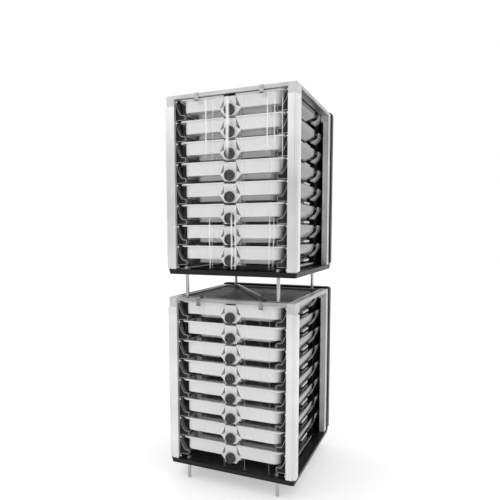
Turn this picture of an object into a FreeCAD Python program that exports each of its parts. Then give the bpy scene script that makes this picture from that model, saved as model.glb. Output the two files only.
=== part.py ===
"""Vertical-flow egg incubator: two stacked eight-tray cabinets on slim legs.

Millimetres, +Z up, X across the front, -Y towards the user.  The origin is on the
floor under the middle of the object.  Each cabinet is drawn in its own height frame,
with zero at the underside of its base pan, and then lifted to its place in the stack.
"""
import FreeCAD
import Part
import math
import os

# ---------------------------------------------------------------- driving dimensions
CABINETS = (("lower", 72.0), ("upper", 976.0))      # name, height of the base underside
TRAYS_PER_CABINET = 8

HALF_WIDTH = 305.0          # outer faces of posts and corner blocks
FRONT_Y = -315.0            # front faces of posts, blocks and front rail
REAR_POST_BACK_Y = 282.0
REAR_Y = 315.0              # back of the rear panel
CABINET_HEIGHT = 797.0

BASE_HEIGHT = 23.0
BASE_HALF_WIDTH = 309.0
BASE_FRONT_Y = -317.0
BASE_CORNER_RADIUS = 12.0
BASE_DRAFT = 4.0
BASE_WALL = 12.0
BASE_FLOOR = 6.0

POST_WIDTH = 38.0
POST_DEPTH = 42.0
POST_WALL = 3.0
POST_STEP_WIDTH = 9.0
POST_STEP_DEPTH = 3.0
PANEL_TRACK_OUT = 8.5       # how far the outer panel track stands out of the post
PANEL_TRACK_WALL = 2.5
PANEL_TRACK_DEPTH = 32.0
PANEL_TRACK_SETBACK = 4.0
REAR_POST_WIDTH = 28.0

BLOCK_HEIGHT = 45.0
FRONT_BLOCK_DEPTH = 66.0
REAR_BLOCK_DEPTH = 46.0
BLOCK_SCREW_RADIUS = 3.2

RAIL_HEIGHT = 16.0
FRONT_RAIL_DEPTH = 40.0
SIDE_RAIL_WIDTH = 36.0
RAIL_GROOVE_WIDTH = 16.0
RAIL_GROOVE_DEPTH = 5.0

LEG_RADIUS = 8.0
LEG_BORE_RADIUS = 8.05
LEG_X = 222.0
LEG_FRONT_Y = -290.0
LEG_REAR_Y = 262.0
LEG_SOCKET_DEPTH = 12.0     # how far an upper leg enters the frame below it
LEG_ABOVE_BASE = 12.0
NUT_RADIUS = 14.0
NUT_HEIGHT = 9.0

FIRST_RIM_Z = 779.5         # top of the uppermost tray's rim
TRAY_PITCH = 92.6
TRAY_FRONT_Y = -300.0
TRAY_REAR_Y = 157.0
TRAY_HALF_WIDTH = 256.0
TRAY_CORNER_RADIUS = 34.0
RIM_THICKNESS = 3.0
RIM_LIP = 6.0
TUB_HALF_WIDTH = 230.0
TUB_FRONT_INSET = 5.0
TUB_REAR_INSET = 10.0
TUB_CORNER_RADIUS = 30.0
TUB_DEPTH = 58.0
TUB_WALL = 3.0
CHIN_WIDTH = 22.0           # sloping cut-back of the tub's front beside the drain plate
CHIN_HEIGHT = 48.0
CHIN_DEPTH = 34.0
GUSSET_SETBACK = 6.0        # web that ties the drain plate to the tub's floor
GUSSET_RISE = 14.0
PAN_HALF_WIDTH = 188.0      # deeper middle of the tub
PAN_FRONT_INSET = 45.0
PAN_REAR_INSET = 20.0
PAN_DEPTH = 78.0
SKID_WIDTH = 6.5            # ridge under each side of the tub that slides on the runner
SKID_HEIGHT = 7.5
SKID_END = 30.0

PLATE_HALF_WIDTH = 28.5     # plate in the middle of the front that carries the drain
PLATE_DROP = 7.0
PLATE_BOTTOM = 88.0
PLATE_THICKNESS = 4.0
ARCH_RADIUS = 25.5
ARCH_DEPTH = 1.6
SUMP_HALF_WIDTH = 36.0
SUMP_DEPTH_Y = 62.0
NECK_RADIUS = 20.0
DRAIN_BORE_RADIUS = 15.0
PLUG_STEM_RADIUS = 14.95
PLUG_DROP = 64.0
PLUG_STEM_LENGTH = 24.0
PLUG_RADIUS = 23.5
PLUG_LENGTH = 13.5
PLUG_GAP = 0.3

BASKET_GAP = 4.0
BASKET_HEIGHT = 30.0
BASKET_WALL = 4.0
BASKET_FLOOR = 1.5
BASKET_LIFT = 6.0
BASKET_FRONT_GAP = 62.0
LID_THICKNESS = 4.0
LID_BORDER = 14.0
LID_BAR = 6.0
BASKET_FOOT_INSET = 18.0
TAB_X = 199.0
TAB_WIDTH = 26.0
TAB_THICKNESS = 4.0
TAB_RISE = 1.0

RUNNER_SHEET = 3.0
RUNNER_TOP_Z = CABINET_HEIGHT - RAIL_HEIGHT
RUNNER_REAR_Y = 182.0
RUNNER_FRONT_Y = -300.0
RUNNER_INNER_X = 219.0      # sheet's middle line, from the inmost wall to the outer face
RUNNER_LEDGE_X = 240.0
RUNNER_BEND_X = 249.0
RUNNER_FACE_X = 262.0
RUNNER_RIDGE_X = 264.0
RUNNER_SHELF_RISE = 4.5     # above the rim of its tray
RUNNER_FACE_DROP = 28.0
RUNNER_BEND_DROP = 55.0
RUNNER_REAR_EDGE = ((183.0, 1.0), (172.0, -28.0), (92.0, -57.0))    # y, height above the rim
RUNNER_CLEARANCE = 0.4
STRIP_INNER_X = 256.8
STRIP_OUTER_X = 266.5
WEB_X = 248.0
STRUT_SHEET = 2.0           # slanting plate between each rib's rear edge and the rear post
STRUT_OUTLINE = ((189.0, -5.0), (179.0, -28.0), (100.0, -57.0), (165.0, -57.0), (238.0, -28.0),
                 (238.0, -8.0))
STRUT_TOP_X = 264.5
STRUT_LEAN = 0.27           # inward run for each unit of drop
BLOCK_LENGTH = 94.0         # slide block under each ledge
BLOCK_REAR_Y = 120.0
BLOCK_DROP = 70.5
SLIDE_BLOCK_HEIGHT = 11.0
SLIDE_BLOCK_DEPTH = 22.0
RUNNER_SCREW_RADIUS = 3.8
RUNNER_SCREW_DROP = 7.0
SCREW_HEAD = 2.0

PANEL_HALF_WIDTH = 312.0
PANEL_TOP_Z = 807.0
PANEL_CORNER_RADIUS = 16.0
PANEL_WALL = 4.0
PANEL_RIB_DEPTH = 8.0

COVER_HALF_WIDTH = 238.0    # clear front sheet, hung a little to the right
COVER_SHIFT = 18.0
COVER_SHEET = 1.2
COVER_BOTTOM_Z = 30.0
BEAD_RADIUS = 2.0
CURL_GAP = 0.6
CLIP_X = 152.0
CLIP_WIDTH = 20.0
CLIP_SHEET = 1.5
CURL_Z = 766.0
CLIP_TAIL_RISE = 9.0
CLIP_REACH = 30.0
CLIP_SCREW_RADIUS = 4.2

TOP_COVER_Z = 787.5
TOP_COVER_THICKNESS = 2.5
TOP_COVER_BORDER = 18.0

BRACE_WIDTH = 12.0
BRACE_THICKNESS = 2.5
BRACE_REAR = (-205.0, 250.0)
BRACE_FRONT = (166.0, -264.0)
BARREL_RADIUS = 5.0
BARREL_LENGTH = 90.0

WALL_GAP = 0.5
CENTRE_SHIFT_Y = 3.95       # puts the origin under the middle of the overall depth

UP = FreeCAD.Vector(0, 0, 1)
FORWARD = FreeCAD.Vector(0, -1, 0)
LEG_SPOTS = [(x, y) for y in (LEG_FRONT_Y, LEG_REAR_Y) for x in (-LEG_X, LEG_X)]


# ---------------------------------------------------------------- helpers
def box(x0, x1, y0, y1, z0, z1):
    """Block between two corners."""
    return Part.makeBox(x1 - x0, y1 - y0, z1 - z0, FreeCAD.Vector(x0, y0, z0))


def cylinder(radius, length, start, axis):
    """Round bar from a start point along an axis."""
    return Part.makeCylinder(radius, length, FreeCAD.Vector(*start), axis)


def rounded_wire(x0, x1, y0, y1, radius, z):
    """Closed rectangle with round corners in a level plane."""
    turn = radius * (1.0 - math.sqrt(0.5))
    corners = [
        ((x1 - radius, y0, z), (x1 - turn, y0 + turn, z), (x1, y0 + radius, z)),
        ((x1, y1 - radius, z), (x1 - turn, y1 - turn, z), (x1 - radius, y1, z)),
        ((x0 + radius, y1, z), (x0 + turn, y1 - turn, z), (x0, y1 - radius, z)),
        ((x0, y0 + radius, z), (x0 + turn, y0 + turn, z), (x0 + radius, y0, z)),
    ]
    edges = []
    for index, (start, middle, end) in enumerate(corners):
        a, b, c = (FreeCAD.Vector(*point) for point in (start, middle, end))
        following = FreeCAD.Vector(*corners[(index + 1) % len(corners)][0])
        edges.append(Part.Arc(a, b, c).toShape())
        edges.append(Part.LineSegment(c, following).toShape())
    return Part.Wire(edges)


def rounded_block(x0, x1, y0, y1, z0, z1, radius):
    """Upright block with round vertical corners."""
    face = Part.Face(rounded_wire(x0, x1, y0, y1, radius, z0))
    return face.extrude(FreeCAD.Vector(0, 0, z1 - z0))


def prism_y(points, y0, y1):
    """Prism along Y from an outline of (x, z) points."""
    wire = Part.makePolygon([FreeCAD.Vector(x, y0, z) for x, z in points + points[:1]])
    return Part.Face(wire).extrude(FreeCAD.Vector(0, y1 - y0, 0))


def prism_x(points, x0, x1):
    """Prism along X from an outline of (y, z) points."""
    wire = Part.makePolygon([FreeCAD.Vector(x0, y, z) for y, z in points + points[:1]])
    return Part.Face(wire).extrude(FreeCAD.Vector(x1 - x0, 0, 0))


def offset_path(points, distance):
    """Open polyline moved sideways by a distance, with mitred corners."""
    normals = []
    for (x0, z0), (x1, z1) in zip(points, points[1:]):
        length = math.hypot(x1 - x0, z1 - z0)
        normals.append(((z1 - z0) / length, (x0 - x1) / length))
    moved = []
    for index, (x, z) in enumerate(points):
        before = normals[max(index - 1, 0)]
        after = normals[min(index, len(normals) - 1)]
        scale = distance / (1.0 + before[0] * after[0] + before[1] * after[1])
        moved.append((x + (before[0] + after[0]) * scale, z + (before[1] + after[1]) * scale))
    return moved


def mirrored(shape):
    """The same piece on the other side of the object."""
    return shape.mirror(FreeCAD.Vector(0, 0, 0), FreeCAD.Vector(1, 0, 0))


def both_sides(shape):
    """A right-hand piece and its left-hand twin, as two solids."""
    return [mirrored(shape), shape]


def export(name, shapes, lift):
    """Write one node, raised to its place in the stack."""
    group = Part.makeCompound(shapes) if len(shapes) > 1 else shapes[0].copy()
    group.translate(FreeCAD.Vector(0, CENTRE_SHIFT_Y, lift))
    for solid in group.Solids:
        if not solid.isValid():
            raise ValueError("invalid solid in " + name)
    group.exportStep("parts/" + name + ".step")
    print(name, len(group.Solids), round(group.Volume / 1000.0, 1))


# ---------------------------------------------------------------- cabinet frame
def base_pan():
    """Moulded drip pan with drafted sides and bores for the four legs."""
    lower = rounded_wire(
        -BASE_HALF_WIDTH + BASE_DRAFT, BASE_HALF_WIDTH - BASE_DRAFT,
        BASE_FRONT_Y + BASE_DRAFT, REAR_Y, BASE_CORNER_RADIUS, 0.0)
    upper = rounded_wire(
        -BASE_HALF_WIDTH, BASE_HALF_WIDTH, BASE_FRONT_Y, REAR_Y, BASE_CORNER_RADIUS, BASE_HEIGHT)
    pan = Part.makeLoft([lower, upper], True)
    inner_x = HALF_WIDTH - POST_WIDTH - BASE_WALL
    pan = pan.cut(rounded_block(
        -inner_x, inner_x, FRONT_Y + POST_DEPTH + BASE_WALL, REAR_POST_BACK_Y - POST_DEPTH - BASE_WALL,
        BASE_FLOOR, BASE_HEIGHT + 1.0, BASE_CORNER_RADIUS))
    for x, y in LEG_SPOTS:
        pan = pan.cut(cylinder(LEG_BORE_RADIUS, BASE_HEIGHT + 2.0, (x, y, -1.0), UP))
    return pan


def front_post():
    """Right front post: hollow extrusion with a stepped face and an outer panel track."""
    inner = HALF_WIDTH - POST_WIDTH
    back = FRONT_Y + POST_DEPTH
    top = CABINET_HEIGHT - BLOCK_HEIGHT
    post = box(inner, HALF_WIDTH, FRONT_Y, back, BASE_HEIGHT, top)
    step_x = HALF_WIDTH - POST_STEP_WIDTH
    post = post.cut(box(step_x, HALF_WIDTH, FRONT_Y, FRONT_Y + POST_STEP_DEPTH, BASE_HEIGHT, top))
    bore_front = FRONT_Y + POST_STEP_DEPTH + POST_WALL
    post = post.cut(box(
        inner + POST_WALL, HALF_WIDTH - POST_WALL, bore_front, back - POST_WALL, BASE_HEIGHT, top))
    track_front = FRONT_Y + PANEL_TRACK_SETBACK
    track_out = HALF_WIDTH + PANEL_TRACK_OUT
    track = box(HALF_WIDTH, track_out, track_front, track_front + PANEL_TRACK_DEPTH,
                BASE_HEIGHT + 5.0, top - 4.0)
    slot = box(HALF_WIDTH, track_out - PANEL_TRACK_WALL, track_front + PANEL_TRACK_WALL,
               track_front + PANEL_TRACK_DEPTH, BASE_HEIGHT, top)
    return post.fuse(track.cut(slot)).removeSplitter()


def rear_post():
    """Right rear post: the same wall, narrower and without a track."""
    inner = HALF_WIDTH - REAR_POST_WIDTH
    front = REAR_POST_BACK_Y - POST_DEPTH
    top = CABINET_HEIGHT - BLOCK_HEIGHT
    post = box(inner, HALF_WIDTH, front, REAR_POST_BACK_Y, BASE_HEIGHT, top)
    return post.cut(box(
        inner + POST_WALL, HALF_WIDTH - POST_WALL, front + POST_WALL, REAR_POST_BACK_Y - POST_WALL,
        BASE_HEIGHT, top))


def corner_block(y0, y1):
    """Right corner block that ties a post to two rails, with a screw recess on top."""
    inner = HALF_WIDTH - POST_WIDTH
    block = box(inner, HALF_WIDTH, y0, y1, CABINET_HEIGHT - BLOCK_HEIGHT, CABINET_HEIGHT)
    middle = (inner + HALF_WIDTH) / 2.0
    recess = cylinder(
        BLOCK_SCREW_RADIUS, 3.0, (middle, (y0 + y1) / 2.0, CABINET_HEIGHT - 3.0), UP)
    return block.makeFillet(1.2, block.Edges).cut(recess)


def cross_rail(y0, y1, leg_y):
    """Front or rear rail: grooved bar with two sockets for the legs above."""
    half = HALF_WIDTH - POST_WIDTH
    bottom = CABINET_HEIGHT - RAIL_HEIGHT
    rail = box(-half, half, y0, y1, bottom, CABINET_HEIGHT)
    middle = (y0 + y1) / 2.0
    rail = rail.cut(box(
        -half, half, middle - RAIL_GROOVE_WIDTH / 2.0, middle + RAIL_GROOVE_WIDTH / 2.0,
        CABINET_HEIGHT - RAIL_GROOVE_DEPTH, CABINET_HEIGHT))
    for x in (-LEG_X, LEG_X):
        rail = rail.cut(cylinder(LEG_BORE_RADIUS, RAIL_HEIGHT + 2.0, (x, leg_y, bottom - 1.0), UP))
    return rail


def side_rail():
    """Right side rail: grooved bar between the two corner blocks."""
    y0 = FRONT_Y + FRONT_BLOCK_DEPTH
    y1 = REAR_POST_BACK_Y - REAR_BLOCK_DEPTH
    inner = HALF_WIDTH - SIDE_RAIL_WIDTH
    rail = box(inner, HALF_WIDTH, y0, y1, CABINET_HEIGHT - RAIL_HEIGHT, CABINET_HEIGHT)
    middle = (inner + HALF_WIDTH) / 2.0
    return rail.cut(box(
        middle - RAIL_GROOVE_WIDTH / 2.0, middle + RAIL_GROOVE_WIDTH / 2.0, y0, y1,
        CABINET_HEIGHT - RAIL_GROOVE_DEPTH, CABINET_HEIGHT))


def legs(lift):
    """Four legs: the lower cabinet's reach the floor, the upper's enter the frame below."""
    bottom = -lift
    if lift > CABINET_HEIGHT:
        bottom = CABINETS[0][1] + CABINET_HEIGHT - LEG_SOCKET_DEPTH - lift
    length = BASE_HEIGHT + LEG_ABOVE_BASE - bottom
    return [cylinder(LEG_RADIUS, length, (x, y, bottom), UP) for x, y in LEG_SPOTS]


# ---------------------------------------------------------------- panels
def runner_outline():
    """Folded section of the right runner sheet, from the top level down."""
    path = []
    for level in range(TRAYS_PER_CABINET + 1):
        rim = FIRST_RIM_Z - level * TRAY_PITCH
        ledge = rim - TUB_DEPTH - SKID_HEIGHT - RUNNER_CLEARANCE - RUNNER_SHEET / 2.0
        path += [
            (RUNNER_INNER_X, rim + RUNNER_SHELF_RISE),
            (RUNNER_RIDGE_X, rim + RUNNER_SHELF_RISE),
            (RUNNER_FACE_X, rim - RUNNER_FACE_DROP),
            (RUNNER_BEND_X, rim - RUNNER_BEND_DROP),
            (RUNNER_LEDGE_X, ledge),
            (RUNNER_INNER_X, ledge),
        ]
    half = RUNNER_SHEET / 2.0
    return offset_path(path, half) + offset_path(path, -half)[::-1]


def runner_panel():
    """Right runner: folded sheet with a ledge for each tray, a screw strip and a rear web."""
    bottom = BASE_HEIGHT
    sheet = prism_y(runner_outline(), RUNNER_FRONT_Y, RUNNER_REAR_Y)
    sheet = sheet.common(box(0.0, 2.0 * HALF_WIDTH, RUNNER_FRONT_Y, RUNNER_REAR_Y, bottom, RUNNER_TOP_Z))
    for level in range(TRAYS_PER_CABINET):
        rim = FIRST_RIM_Z - level * TRAY_PITCH
        ledge = rim - TUB_DEPTH - SKID_HEIGHT
        corner = [(y, rim + rise) for y, rise in RUNNER_REAR_EDGE]
        corner += [(RUNNER_REAR_EDGE[-1][0], ledge), (RUNNER_REAR_Y + 1.0, ledge)]
        sheet = sheet.cut(prism_x(corner, RUNNER_LEDGE_X, HALF_WIDTH))
    strip = box(STRIP_INNER_X, STRIP_OUTER_X, RUNNER_FRONT_Y, RUNNER_FRONT_Y + RUNNER_SHEET,
                bottom, RUNNER_TOP_Z)
    web = box(WEB_X - RUNNER_SHEET, WEB_X, RUNNER_REAR_Y - RUNNER_SHEET,
              REAR_POST_BACK_Y - WALL_GAP, bottom, RUNNER_TOP_Z)
    wall = box(RUNNER_INNER_X - RUNNER_SHEET / 2.0, WEB_X, RUNNER_REAR_Y - RUNNER_SHEET, RUNNER_REAR_Y,
               bottom, FIRST_RIM_Z - TRAYS_PER_CABINET * TRAY_PITCH + RUNNER_SHELF_RISE)
    return sheet.fuse([strip, web, wall]).removeSplitter()


def strut(rim):
    """Right slanting plate from the rear edge of one rib up to the rear post."""
    top_drop = STRUT_OUTLINE[0][1]
    points = [FreeCAD.Vector(STRUT_TOP_X + STRUT_LEAN * (rise - top_drop), y, rim + rise)
              for y, rise in STRUT_OUTLINE]
    plate = Part.Face(Part.makePolygon(points + points[:1]))
    return plate.extrude(FreeCAD.Vector(STRUT_SHEET, 0, 0))


def slide_block(rim):
    """Right white block under one ledge, against the sheet's inmost wall."""
    x0 = RUNNER_INNER_X + RUNNER_SHEET / 2.0 + RUNNER_CLEARANCE
    top = rim - BLOCK_DROP
    block = box(x0, x0 + SLIDE_BLOCK_DEPTH, BLOCK_REAR_Y - BLOCK_LENGTH, BLOCK_REAR_Y,
                top - SLIDE_BLOCK_HEIGHT, top)
    return block.makeFillet(2.0, block.Edges)


def rear_panel():
    """Moulded back: a shallow dish with round corners and three stiffening ribs."""
    def slab(half_width, top, bottom, y0, y1, radius):
        face = Part.Face(rounded_wire(-half_width, half_width, bottom, top, radius, 0.0))
        shape = face.extrude(FreeCAD.Vector(0, 0, y1 - y0))
        shape.rotate(FreeCAD.Vector(0, 0, 0), FreeCAD.Vector(1, 0, 0), 90.0)
        shape.translate(FreeCAD.Vector(0, y1, 0))
        return shape
    dish = slab(PANEL_HALF_WIDTH, PANEL_TOP_Z, BASE_HEIGHT, REAR_POST_BACK_Y, REAR_Y, PANEL_CORNER_RADIUS)
    rim = 22.0
    hollow = slab(PANEL_HALF_WIDTH - rim, PANEL_TOP_Z - rim - 12.0, BASE_HEIGHT + rim,
                  REAR_POST_BACK_Y, REAR_Y - PANEL_WALL, PANEL_CORNER_RADIUS)
    dish = dish.cut(hollow)
    for x in (-150.0, 0.0, 150.0):
        dish = dish.fuse(box(x - 6.0, x + 6.0, REAR_Y - PANEL_WALL - PANEL_RIB_DEPTH,
                             REAR_Y - PANEL_WALL, BASE_HEIGHT + rim, PANEL_TOP_Z - rim - 12.0))
    return dish.removeSplitter()


def top_cover():
    """Thin lid in the top frame, with a raised border and a shallow field."""
    x = HALF_WIDTH - SIDE_RAIL_WIDTH
    y0 = FRONT_Y + FRONT_RAIL_DEPTH
    y1 = REAR_POST_BACK_Y - FRONT_RAIL_DEPTH
    block_x = HALF_WIDTH - POST_WIDTH
    top = TOP_COVER_Z + TOP_COVER_THICKNESS
    plate = box(-block_x, block_x, y0, y1, TOP_COVER_Z, top)
    side_y0 = FRONT_Y + FRONT_BLOCK_DEPTH
    side_y1 = REAR_POST_BACK_Y - REAR_BLOCK_DEPTH
    plate = plate.fuse(box(-x, x, side_y0, side_y1, TOP_COVER_Z, top))
    field_x = x - TOP_COVER_BORDER
    field = rounded_block(-field_x, field_x, y0 + TOP_COVER_BORDER, y1 - TOP_COVER_BORDER,
                          top - 1.0, top + 1.0, BASE_CORNER_RADIUS)
    return plate.cut(field).removeSplitter()


def brace():
    """Diagonal strap over the top frame with a tensioning barrel near its front end."""
    rear = FreeCAD.Vector(BRACE_REAR[0], BRACE_REAR[1], 0)
    front = FreeCAD.Vector(BRACE_FRONT[0], BRACE_FRONT[1], 0)
    length = (front - rear).Length
    strap = box(0.0, length, -BRACE_WIDTH / 2.0, BRACE_WIDTH / 2.0, 0.0, BRACE_THICKNESS)
    centre_z = BARREL_RADIUS
    barrel = cylinder(
        BARREL_RADIUS, BARREL_LENGTH, (length - BARREL_LENGTH - 30.0, 0.0, centre_z), FreeCAD.Vector(1, 0, 0))
    piece = strap.fuse(barrel)
    angle = math.degrees(math.atan2(front.y - rear.y, front.x - rear.x))
    piece.rotate(FreeCAD.Vector(0, 0, 0), UP, angle)
    piece.translate(FreeCAD.Vector(rear.x, rear.y, CABINET_HEIGHT))
    return piece.removeSplitter()


# ---------------------------------------------------------------- front cover
def curl_centre_y():
    """Depth of the bead that the clear sheet swings on."""
    return FRONT_Y - CLIP_SHEET - BEAD_RADIUS - CURL_GAP


def front_cover():
    """Clear limp sheet with a round bead along its top edge."""
    y = curl_centre_y()
    x0 = COVER_SHIFT - COVER_HALF_WIDTH
    x1 = COVER_SHIFT + COVER_HALF_WIDTH
    sheet = box(x0, x1, y - COVER_SHEET / 2.0, y + COVER_SHEET / 2.0, COVER_BOTTOM_Z, CURL_Z)
    bead = cylinder(BEAD_RADIUS, x1 - x0, (x0, y, CURL_Z), FreeCAD.Vector(1, 0, 0))
    return sheet.fuse(bead).removeSplitter()


def cover_clip(x):
    """Hook clip over the front rail whose lower end curls round the sheet's bead."""
    y = curl_centre_y()
    x0 = x - CLIP_WIDTH / 2.0
    x1 = x + CLIP_WIDTH / 2.0
    face = box(x0, x1, FRONT_Y - CLIP_SHEET, FRONT_Y, CURL_Z, CABINET_HEIGHT + CLIP_SHEET)
    cap = box(x0, x1, FRONT_Y - CLIP_SHEET, FRONT_Y + CLIP_REACH,
              CABINET_HEIGHT, CABINET_HEIGHT + CLIP_SHEET)
    back = FRONT_Y + CLIP_REACH
    tail = prism_x([
        (back - 4.0, CABINET_HEIGHT), (back, CABINET_HEIGHT),
        (back + 8.0, CABINET_HEIGHT + CLIP_TAIL_RISE), (back + 6.0, CABINET_HEIGHT + CLIP_TAIL_RISE + 1.0),
        (back - 4.0, CABINET_HEIGHT + CLIP_SHEET)], x0 + 4.0, x1 - 4.0)
    inner = BEAD_RADIUS + CURL_GAP
    outer = inner + CLIP_SHEET
    along = FreeCAD.Vector(1, 0, 0)
    curl = cylinder(outer, CLIP_WIDTH, (x0, y, CURL_Z), along)
    curl = curl.cut(cylinder(inner, CLIP_WIDTH, (x0, y, CURL_Z), along))
    mouth = prism_x([
        (y, CURL_Z), (y - 3.0 * outer, CURL_Z + 1.2 * outer), (y - 3.0 * outer, CURL_Z - 3.0 * outer),
        (y + 1.2 * outer, CURL_Z - 3.0 * outer)], x0, x1)
    curl = curl.cut(mouth)
    head = cylinder(CLIP_SCREW_RADIUS, SCREW_HEAD, (x, FRONT_Y - CLIP_SHEET, CABINET_HEIGHT - 8.0), FORWARD)
    return face.fuse([cap, tail, curl, head]).removeSplitter()


# ---------------------------------------------------------------- fasteners
def hex_nut(x, y, z):
    """Hexagon nut that locks a leg to the base pan."""
    points = []
    for corner in range(7):
        angle = math.radians(60.0 * corner)
        points.append(FreeCAD.Vector(x + NUT_RADIUS * math.cos(angle), y + NUT_RADIUS * math.sin(angle), z))
    nut = Part.Face(Part.makePolygon(points)).extrude(FreeCAD.Vector(0, 0, NUT_HEIGHT))
    return nut.cut(cylinder(LEG_BORE_RADIUS, NUT_HEIGHT + 2.0, (x, y, z - 1.0), UP))


def fasteners():
    """Leg nuts, a screw at each level of each runner strip, struts and slide blocks."""
    pieces = [hex_nut(x, y, BASE_HEIGHT) for x, y in LEG_SPOTS]
    x = (STRIP_INNER_X + STRIP_OUTER_X) / 2.0
    for level in range(TRAYS_PER_CABINET + 1):
        z = FIRST_RIM_Z - RUNNER_SCREW_DROP - level * TRAY_PITCH
        z = min(z, RUNNER_TOP_Z - 2.0 * RUNNER_SCREW_RADIUS)
        screw = cylinder(RUNNER_SCREW_RADIUS, SCREW_HEAD, (x, RUNNER_FRONT_Y, z), FORWARD)
        pieces += both_sides(screw)
    for level in range(TRAYS_PER_CABINET):
        rim = FIRST_RIM_Z - level * TRAY_PITCH
        pieces += both_sides(strut(rim)) + both_sides(slide_block(rim))
    return pieces


# ---------------------------------------------------------------- trays
def tub():
    """Tray shell with a flanged rim, a front drain plate, a sump and its neck."""
    front = TRAY_FRONT_Y + TUB_FRONT_INSET
    rear = TRAY_REAR_Y - TUB_REAR_INSET
    shell = rounded_block(-TUB_HALF_WIDTH, TUB_HALF_WIDTH, front, rear, -TUB_DEPTH, 0.0, TUB_CORNER_RADIUS)
    inside = rounded_block(
        -TUB_HALF_WIDTH + TUB_WALL, TUB_HALF_WIDTH - TUB_WALL, front + TUB_WALL, rear - TUB_WALL,
        -TUB_DEPTH + TUB_WALL, 1.0, TUB_CORNER_RADIUS - TUB_WALL)
    webs = []
    skids = []
    for side in (-1.0, 1.0):
        chin = [(side * PLATE_HALF_WIDTH, -TUB_DEPTH), (side * (PLATE_HALF_WIDTH + CHIN_WIDTH), -TUB_DEPTH),
                (side * PLATE_HALF_WIDTH, -TUB_DEPTH + CHIN_HEIGHT)]
        shell = shell.cut(prism_y(chin, front, front + CHIN_DEPTH))
        backing = [(side * (PLATE_HALF_WIDTH - TUB_WALL), -TUB_DEPTH),
                   (side * (PLATE_HALF_WIDTH + CHIN_WIDTH + 2.0 * TUB_WALL), -TUB_DEPTH),
                   (side * (PLATE_HALF_WIDTH - TUB_WALL), -TUB_DEPTH + CHIN_HEIGHT + 3.0 * TUB_WALL)]
        inside = inside.cut(prism_y(backing, front, front + CHIN_DEPTH + TUB_WALL))
        gusset = [(side * (PLATE_HALF_WIDTH - TUB_WALL), -PLATE_BOTTOM),
                  (side * (PLATE_HALF_WIDTH + CHIN_WIDTH), -TUB_DEPTH),
                  (side * (PLATE_HALF_WIDTH + CHIN_WIDTH - 1.0), -TUB_DEPTH + TUB_WALL),
                  (side * (PLATE_HALF_WIDTH - TUB_WALL), -TUB_DEPTH + GUSSET_RISE)]
        webs.append(prism_y(gusset, front, front + GUSSET_SETBACK + TUB_WALL))
        skids.append(box(min(side * TUB_HALF_WIDTH, side * (TUB_HALF_WIDTH - SKID_WIDTH)),
                         max(side * TUB_HALF_WIDTH, side * (TUB_HALF_WIDTH - SKID_WIDTH)),
                         front + SKID_END, rear - SKID_END, -TUB_DEPTH - SKID_HEIGHT, -TUB_DEPTH + TUB_WALL))
    flange = rounded_block(-TRAY_HALF_WIDTH, TRAY_HALF_WIDTH, TRAY_FRONT_Y, TRAY_REAR_Y,
                           -RIM_THICKNESS, 0.0, TRAY_CORNER_RADIUS)
    lip = rounded_block(-TRAY_HALF_WIDTH, TRAY_HALF_WIDTH, TRAY_FRONT_Y, TRAY_REAR_Y,
                        -RIM_LIP, 0.0, TRAY_CORNER_RADIUS)
    lip = lip.cut(rounded_block(
        -TRAY_HALF_WIDTH + 2.0, TRAY_HALF_WIDTH - 2.0, TRAY_FRONT_Y + 2.0, TRAY_REAR_Y - 2.0,
        -RIM_LIP, 0.0, TRAY_CORNER_RADIUS - 2.0))
    plate_y = TRAY_FRONT_Y + 1.0
    plate = box(-PLATE_HALF_WIDTH, PLATE_HALF_WIDTH, plate_y, front + TUB_WALL, -PLATE_BOTTOM, -PLATE_DROP)
    neck = cylinder(NECK_RADIUS, CHIN_DEPTH + 1.0, (0.0, front, -PLUG_DROP), FreeCAD.Vector(0, 1, 0))
    sump_y = front + CHIN_DEPTH
    sump = box(-SUMP_HALF_WIDTH, SUMP_HALF_WIDTH, sump_y, sump_y + SUMP_DEPTH_Y,
               -PLATE_BOTTOM, -TUB_DEPTH + TUB_WALL)
    sump_inside = box(
        -SUMP_HALF_WIDTH + TUB_WALL, SUMP_HALF_WIDTH - TUB_WALL, sump_y + TUB_WALL,
        sump_y + SUMP_DEPTH_Y - TUB_WALL, -PLATE_BOTTOM + TUB_WALL, 1.0)
    notch = box(-PLATE_HALF_WIDTH, PLATE_HALF_WIDTH, TRAY_FRONT_Y, front + TUB_WALL, -PLATE_DROP, 1.0)
    arch = cylinder(ARCH_RADIUS, ARCH_DEPTH, (0.0, plate_y, -PLUG_DROP), FreeCAD.Vector(0, 1, 0))
    arch = arch.fuse(box(-ARCH_RADIUS, ARCH_RADIUS, plate_y, plate_y + ARCH_DEPTH, -PLATE_BOTTOM, -PLUG_DROP))
    bore = cylinder(DRAIN_BORE_RADIUS, CHIN_DEPTH + 3.0 * TUB_WALL, (0.0, plate_y, -PLUG_DROP),
                    FreeCAD.Vector(0, 1, 0))
    pan_y0 = front + PAN_FRONT_INSET
    pan_y1 = rear - PAN_REAR_INSET
    pan = rounded_block(-PAN_HALF_WIDTH, PAN_HALF_WIDTH, pan_y0, pan_y1, -PAN_DEPTH, -TUB_DEPTH + 1.0,
                        TUB_CORNER_RADIUS)
    pan_inside = rounded_block(
        -PAN_HALF_WIDTH + TUB_WALL, PAN_HALF_WIDTH - TUB_WALL, pan_y0 + TUB_WALL, pan_y1 - TUB_WALL,
        -PAN_DEPTH + TUB_WALL, 1.0, TUB_CORNER_RADIUS - TUB_WALL)
    piece = shell.fuse([flange, lip, pan]).cut([inside, pan_inside]).fuse([plate, neck, sump] + webs + skids)
    return piece.cut([sump_inside, notch, arch, bore]).removeSplitter()


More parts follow.
